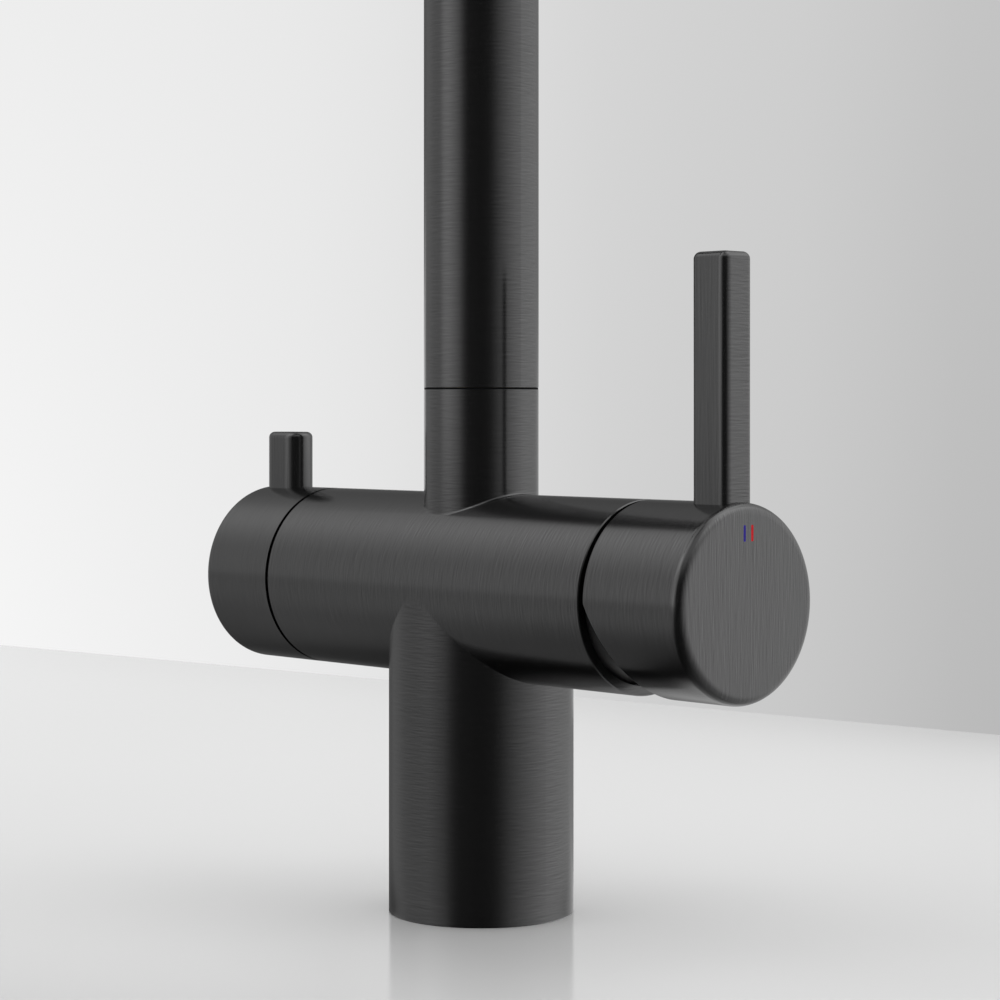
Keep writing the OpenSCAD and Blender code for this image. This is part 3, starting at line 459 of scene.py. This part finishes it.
def neck_fillet(radius=0.0008, around=240, across=10):
    """The round corner between neck and crossbar, rolled by a ball of that radius.

    The ball's centre is radius outside both cylinders:
    c(p) = ((r + q) cos p, (r + q) sin p, h + sqrt((R + q)^2 - ((r + q) sin p)^2)),
    and the corner is the arc on the ball between the points where it touches them.
    """
    p = np.linspace(0.0, 2.0 * math.pi, around, endpoint=False)
    r, big = PIPE_R + radius, BODY_R + radius
    centre = np.stack([r * np.cos(p), r * np.sin(p), np.sqrt(big**2 - (r * np.sin(p)) ** 2)], -1)
    to_neck = -np.stack([np.cos(p), np.sin(p), 0.0 * p], -1)
    to_bar = -np.stack([0.0 * p, centre[:, 1], centre[:, 2]], -1) / big
    whole = np.arccos(np.clip((to_neck * to_bar).sum(-1), -1.0, 1.0))[:, None, None]
    t = np.linspace(0.0, 1.0, across)[None, :, None]
    ways = np.sin((1.0 - t) * whole) * to_neck[:, None] + np.sin(t * whole) * to_bar[:, None]
    points = centre[:, None] + radius * ways / np.sin(whole)
    points[..., 2] += BAR_Z
    piece = sheet_object(
        "neck_fillet", points, wrap_u=True, material=MATERIALS["upright"], body="tap_body",
        flip=True,
    )


def threaded_tube(name, radius, bore, start, end, pitch, depth, body, node, material):
    """A tube with a rolled thread outside, its axis on the column's from start to end.

    The outside is r(s, a) = radius - depth * w(s / pitch - a / 2 pi) at the height s, where w
    goes from 0 on the crest to 1 in the groove and fades out at both ends.
    """
    around = 72
    turns = (end - start) / pitch
    s = np.linspace(start, end, int(turns * 8) + 1)
    a = np.linspace(0.0, 2.0 * math.pi, around, endpoint=False)
    phase = s[:, None] / pitch - a[None, :] / (2.0 * math.pi)
    wave = 0.5 - 0.5 * np.cos(2.0 * math.pi * phase)
    wave = np.clip(1.4 * wave - 0.2, 0.0, 1.0)
    edge = np.minimum(s - start, end - s) / (1.5 * pitch)
    r = radius - depth * wave * np.clip(edge, 0.0, 1.0)[:, None]
    r -= 0.5 * depth * np.clip(1.0 - 2.0 * edge, 0.0, 1.0)[:, None]
    ring_s = np.concatenate([s, [end, start, s[0]]])
    radii = np.concatenate([r, np.full((2, around), bore), r[:1]])
    points = np.stack(
        [
            radii * np.cos(a)[None, :],
            radii * np.sin(a)[None, :],
            np.repeat(ring_s[:, None], around, 1),
        ],
        -1,
    )
    piece = sheet_object(
        name, points, wrap_v=True, material=MATERIALS[material], body=body, flip=True
    )
    piece.data.set_sharp_from_angle(angle=math.radians(50))
    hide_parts(node)


MARK_Y = 0.0014
MARK_Z = 0.10555
MARK_HALF_W = 0.00042
MARK_HALF_H = 0.00205
PAINT_T = 0.00002


def pad(name, centre, half_y, half_z, colour):
    """A thin printed mark on the handle's flat face: a soft-cornered box.

    Its outline is |y / a|^8 + |z / b|^8 = 1, and its edge rolls over in a quarter ellipse
    from a paint's thickness below the face to as much above it.
    """
    around = 48
    a = np.linspace(0.0, 2.0 * math.pi, around, endpoint=False)
    c, s = np.cos(a), np.sin(a)
    stretch = (np.abs(c) ** 8 + np.abs(s) ** 8) ** (-1.0 / 8.0)
    t = np.linspace(0.0, 1.0, 7)[:, None]
    inset = 1.0 - 0.15 * (1.0 - np.cos(t * math.pi / 2.0))
    x = FACE_X - PAINT_T + 2.0 * PAINT_T * np.sin(t * math.pi / 2.0)
    y = centre[0] + half_y * stretch * c * inset
    z = centre[1] + half_z * stretch * s * inset
    rim = np.stack([np.repeat(x, around, 1), y, z], -1)
    middle = np.repeat([[[x[-1, 0], centre[0], centre[1]]]], around, 1)
    material, graph = new_material(name + "_paint")
    place = graph.place()
    cloud = graph.noise([v * 900.0 for v in place], detail=2.0)
    shader = graph.add(
        "ShaderNodeBsdfPrincipled",
        inputs={
            "Base Color": graph.tint(colour, 0.93 + cloud * 0.14),
            "Roughness": 0.5 + cloud * 0.1,
            "Specular IOR Level": 0.1,
        },
    )
    graph.surface(shader.outputs[0])
    piece = sheet_object(
        name, np.concatenate([rim, middle]), wrap_v=True, material=material,
        body="mixer_handle", flip=True,
    )


neck_fillet()
threaded_tube(
    "shank_thread", radius=0.0165, bore=0.0145, start=-0.062, end=0.014, pitch=0.0015,
    depth=0.0006, body="tap_body", node="mounting_shank", material="brass",
)
pad("cold_mark", (-MARK_Y, MARK_Z), MARK_HALF_W, MARK_HALF_H, (0.03, 0.02, 0.26))
pad("hot_mark", (MARK_Y, MARK_Z), MARK_HALF_W, MARK_HALF_H, (0.62, 0.012, 0.02))


# Studio

FLOOR_END = 4.0
WALL_END = 2.4
WALL_TOP = 3.0


def stage_sheet(name, corners, material):
    """A flat sheet between four corners, split into a grid so that it shades evenly."""
    u = np.linspace(0.0, 1.0, 9)[:, None, None]
    v = np.linspace(0.0, 1.0, 9)[None, :, None]
    p = [np.array(c, float) for c in corners]
    points = (1 - u) * ((1 - v) * p[0] + v * p[3]) + u * ((1 - v) * p[1] + v * p[2])
    piece = sheet_object(name, points, material=material)
    return piece


# Light round the tap, by the angle from the eye's side, positive to the right, in degrees
ROUND_LEVELS = [
    (-180, 0.12), (-162, 0.15), (-150, 0.20), (-137, 0.39), (-122, 0.53), (-108, 0.52),
    (-82, 0.53), (-67, 0.54), (-53, 0.41), (-44.5, 0.31), (-39, 0.18), (-32, 0.09),
    (-25, 0.06), (0, 0.045), (14, 0.06), (22, 0.11), (30, 0.22), (40, 0.38), (50, 0.54),
    (60, 0.69), (70, 0.84), (79, 0.98), (90, 1.14), (102, 1.16), (116, 1.07), (132, 0.8),
    (150, 0.42), (165, 0.3), (173, 0.16), (180, 0.12),
]
# A tall light on the left that reaches down to the eye's height
TALL_LIGHT_LEVELS = [
    (-180, 0.0), (-130, 0.06), (-100, 0.1), (-89, 0.12), (-80, 0.54), (-70, 0.58), (-60, 0.46),
    (-50, 0.32), (-42, 0.2), (-34, 0.06), (-26, 0.0), (180, 0.0),
]
# Painted reflection and painted shadow: how much of that light the floor's emission shows in the
# metal when the floor is looked at steeply, by the distance from the column's axis in metres. It
# is low near the column as a painted shadow of the tap. At a glance it shows 0.93 of it
# everywhere.
STEEP_PAINTED_REFLECTION_LEVELS = [
    (0.0, 0.44), (0.08, 0.47), (0.14, 0.62), (0.25, 0.8), (0.5, 0.93), (1.0, 0.93),
]
# How far round the floor's painted reflection levels are drawn near the column's foot, in
# degrees
TURN_LIMIT = 138.0


def floor_material():
    """A pale satin top: a soft white body under a clear, fairly glossy skin.

    Its white is lighter towards the right and lifted in two patches beside the tap: painted
    light.
    In the tap's reflections it shows a painted reflection of the room's levels instead, dimmed
    close to the tap by a painted shadow. A line of sight that the column turns by twice an angle
    meets the floor near its foot at less than twice that angle round it, so the angle there is
    taken
    1 + (R / r)^1.6 times, on the right no further than TURN_LIMIT.
    """
    material, graph = new_material("pale_floor")
    x, y, z = graph.place()
    cloud = graph.noise([x * 3.0, y * 3.0, z], detail=2.0)
    fine = graph.noise([x * 260.0, y * 260.0, z], detail=3.0)
    right = x * TO_THE_RIGHT[0] + y * TO_THE_RIGHT[1]
    ahead = x * TOWARDS_EYE[0] + y * TOWARDS_EYE[1]
    # Painted light: the white rises towards the right, where more light falls. It is lifted in
    # front of the tap on its left and behind it on its right, against the shade there.
    albedo_with_painted_light = 0.66 + right.step(-0.25, 0.25) * 0.21
    left = right.step(-0.14, -0.06) * (1.0 - right.step(-0.03, 0.03))
    painted_lift_before_left = left * ahead.step(-0.02, 0.1)
    painted_lift_behind_right = (1.0 - ahead.step(-0.06, 0.06)) * right.step(0.0, 0.04)
    albedo_with_painted_light = albedo_with_painted_light + painted_lift_before_left * 0.07 + painted_lift_behind_right * 0.05
    shader = graph.add(
        "ShaderNodeBsdfPrincipled",
        inputs={
            "Base Color": graph.tint(WHITE, albedo_with_painted_light + cloud * 0.015),
            "Roughness": 0.085 + fine * 0.03,
            "IOR": 1.45,
        },
    )
    far = (x * x + y * y).root()
    turn = right.angle(ahead) * DEGREES
    turn = (turn * (1.0 + (BODY_R / far).math("POWER", 1.6))).least(turn.most(TURN_LIMIT))
    glance = graph.add("ShaderNodeLayerWeight", inputs={"Blend": 0.5}).outputs["Facing"]
    glance = Val(graph, glance).step(0.5, 0.8)
    # Painted shadow of the tap in the painted reflection: darker near the column and behind it,
    # raised close to the column on the right
    steep = graph.ramp(far, STEEP_PAINTED_REFLECTION_LEVELS) * (1.0 - (-ahead).step(0.06, 0.15) * 0.35)
    steep = steep * (1.0 + right.step(0.0, 0.04) * (1.0 - far.step(0.07, 0.12)) * 1.2)
    level = graph.ramp(turn, ROUND_LEVELS, -180.0, 180.0) * glance.pick(0.93, steep)
    # The emission that glossy rays see in place of the floor: the painted reflection
    glow = graph.add("ShaderNodeEmission", inputs={"Color": graph.tint(WHITE, level)})
    light_path = graph.add("ShaderNodeLightPath")
    mix = graph.add(
        "ShaderNodeMixShader",
        inputs={
            0: light_path.outputs["Is Glossy Ray"],
            1: shader.outputs[0],
            2: glow.outputs[0],
        },
    )
    graph.surface(mix.outputs[0])
    return material


# The backdrop's painted light and shade along it, by x in metres
PAINTED_WALL_LIGHT_LEVELS = [
    (-2.4, 0.92), (-1.2, 0.92), (-0.757, 0.88), (-0.688, 0.863), (-0.605, 0.84),
    (-0.527, 0.815), (-0.473, 0.783), (-0.336, 0.658), (-0.29, 0.631), (-0.226, 0.604),
    (-0.186, 0.571), (-0.152, 0.539), (-0.133, 0.527), (-0.045, 0.62), (0.1, 0.9),
    (0.3, 1.0), (0.7, 0.88), (2.4, 0.8),
]


def wall_material():
    """A glowing backdrop with painted light and shade: its brightness changes along the wall and
    with height.

    The metal sees only a low stretch of it, and the room's lights through the rest. Seen from
    behind it is clear.
    """
    material, graph = new_material("backdrop")
    x, y, z = graph.place()
    # Painted light and shade: the emission follows the levels along the wall and changes with
    # height.
    level = graph.ramp(x, PAINTED_WALL_LIGHT_LEVELS, -WALL_END, WALL_END)
    painted_height_slope = (-0.17 + (x + 0.757) * 0.593).least(0.35)
    level = (level + painted_height_slope * (z.least(0.6) - 0.2)).most(0.2)
    glow = graph.add("ShaderNodeEmission", inputs={"Color": graph.tint(WHITE, level)})
    clear = graph.add("ShaderNodeBsdfTransparent")
    light_path = graph.add("ShaderNodeLightPath")
    geometry = graph.add("ShaderNodeNewGeometry")
    seen = Val(graph, light_path.outputs["Is Camera Ray"])
    behind = Val(graph, geometry.outputs["Backfacing"])
    top = (-0.5 - x).most(0.0) * 0.2
    stretch = x.step(-1.7, -0.77) * (1.0 - x.step(-0.13, 0.3))
    window = stretch * (1.0 - (z - top).step(0.12, 0.19))
    mix = graph.add(
        "ShaderNodeMixShader",
        inputs={0: seen.pick(behind, 1.0 - window), 1: glow.outputs[0], 2: clear.outputs[0]},
    )
    graph.surface(mix.outputs[0])
    return material


def wall_point(x, z):
    """A point of the wall, which crosses the floor on a slant."""
    return x, 0.3365 + (x + 0.7626) * 0.1217, z


stage_sheet(
    "floor",
    [(x * FLOOR_END, y * FLOOR_END, 0) for x, y in [(-1, -1), (1, -1), (1, 1), (-1, 1)]],
    floor_material(),
)
stage_sheet(
    "backdrop",
    [
        wall_point(-WALL_END, 0), wall_point(WALL_END, 0),
        wall_point(WALL_END, WALL_TOP), wall_point(-WALL_END, WALL_TOP),
    ],
    wall_material(),
)


def build_world():
    """A room of soft lights, given by the direction: round the tap, above it and below it."""
    world = bpy.data.worlds.new("studio")
    bpy.context.scene.world = world
    world.use_nodes = True
    graph = Graph(world.node_tree)
    x, y, z = graph.place("Generated")
    ahead = x * TOWARDS_EYE[0] + y * TOWARDS_EYE[1]
    right = x * TO_THE_RIGHT[0] + y * TO_THE_RIGHT[1]
    turn = right.angle(ahead) * DEGREES
    rise = z.math("ARCSINE") * DEGREES
    level = graph.ramp(turn, ROUND_LEVELS, -180.0, 180.0)
    tall = graph.ramp(turn, TALL_LIGHT_LEVELS, -180.0, 180.0) * rise.step(-9.0, -1.0)
    sunk = 1.0 - (-rise).step(5.0, 45.0) * 0.45
    above = rise.step(18.0, 50.0) * 0.55 * (1.0 - rise.step(62.0, 76.0) * 0.7)
    above = above * (1.0 - abs(turn).step(118.0, 168.0) * 0.6)
    level = level * sunk + tall + above
    light_path = graph.add("ShaderNodeLightPath")
    seen = Val(graph, light_path.outputs["Is Camera Ray"])
    shown = seen.pick(0.82, level)
    sky = graph.add("ShaderNodeBackground", inputs={"Color": graph.tint(WHITE, shown)})
    graph.add("ShaderNodeOutputWorld", inputs={"Surface": sky.outputs[0]})


build_world()


def overhead_lamp():
    """A broad soft box over the tap. It lights the floor and isn't seen in the metal."""
    lamp = bpy.data.lights.new("overhead", "AREA")
    lamp.shape = "SQUARE"
    lamp.size = 3.0
    lamp.energy = 16.0
    box = bpy.data.objects.new("overhead", lamp)
    bpy.context.collection.objects.link(box)
    box.location = (0.0, 0.0, 2.2)
    box.visible_camera = False
    box.visible_glossy = False


overhead_lamp()


# Camera

camera = bpy.data.objects.new("camera", bpy.data.cameras.new("camera"))
bpy.context.collection.objects.link(camera)
camera.data.sensor_width = 36.0
camera.data.lens = FOCAL
camera.data.shift_y = HORIZON_SHIFT
camera.data.clip_start = 0.01
camera.data.clip_end = 50.0
camera.location = EYE
camera.rotation_mode = "XYZ"
camera.rotation_euler = (math.pi / 2.0, 0.0, AZIMUTH)
bpy.context.scene.camera = camera
bpy.context.scene.view_settings.view_transform = "Standard"
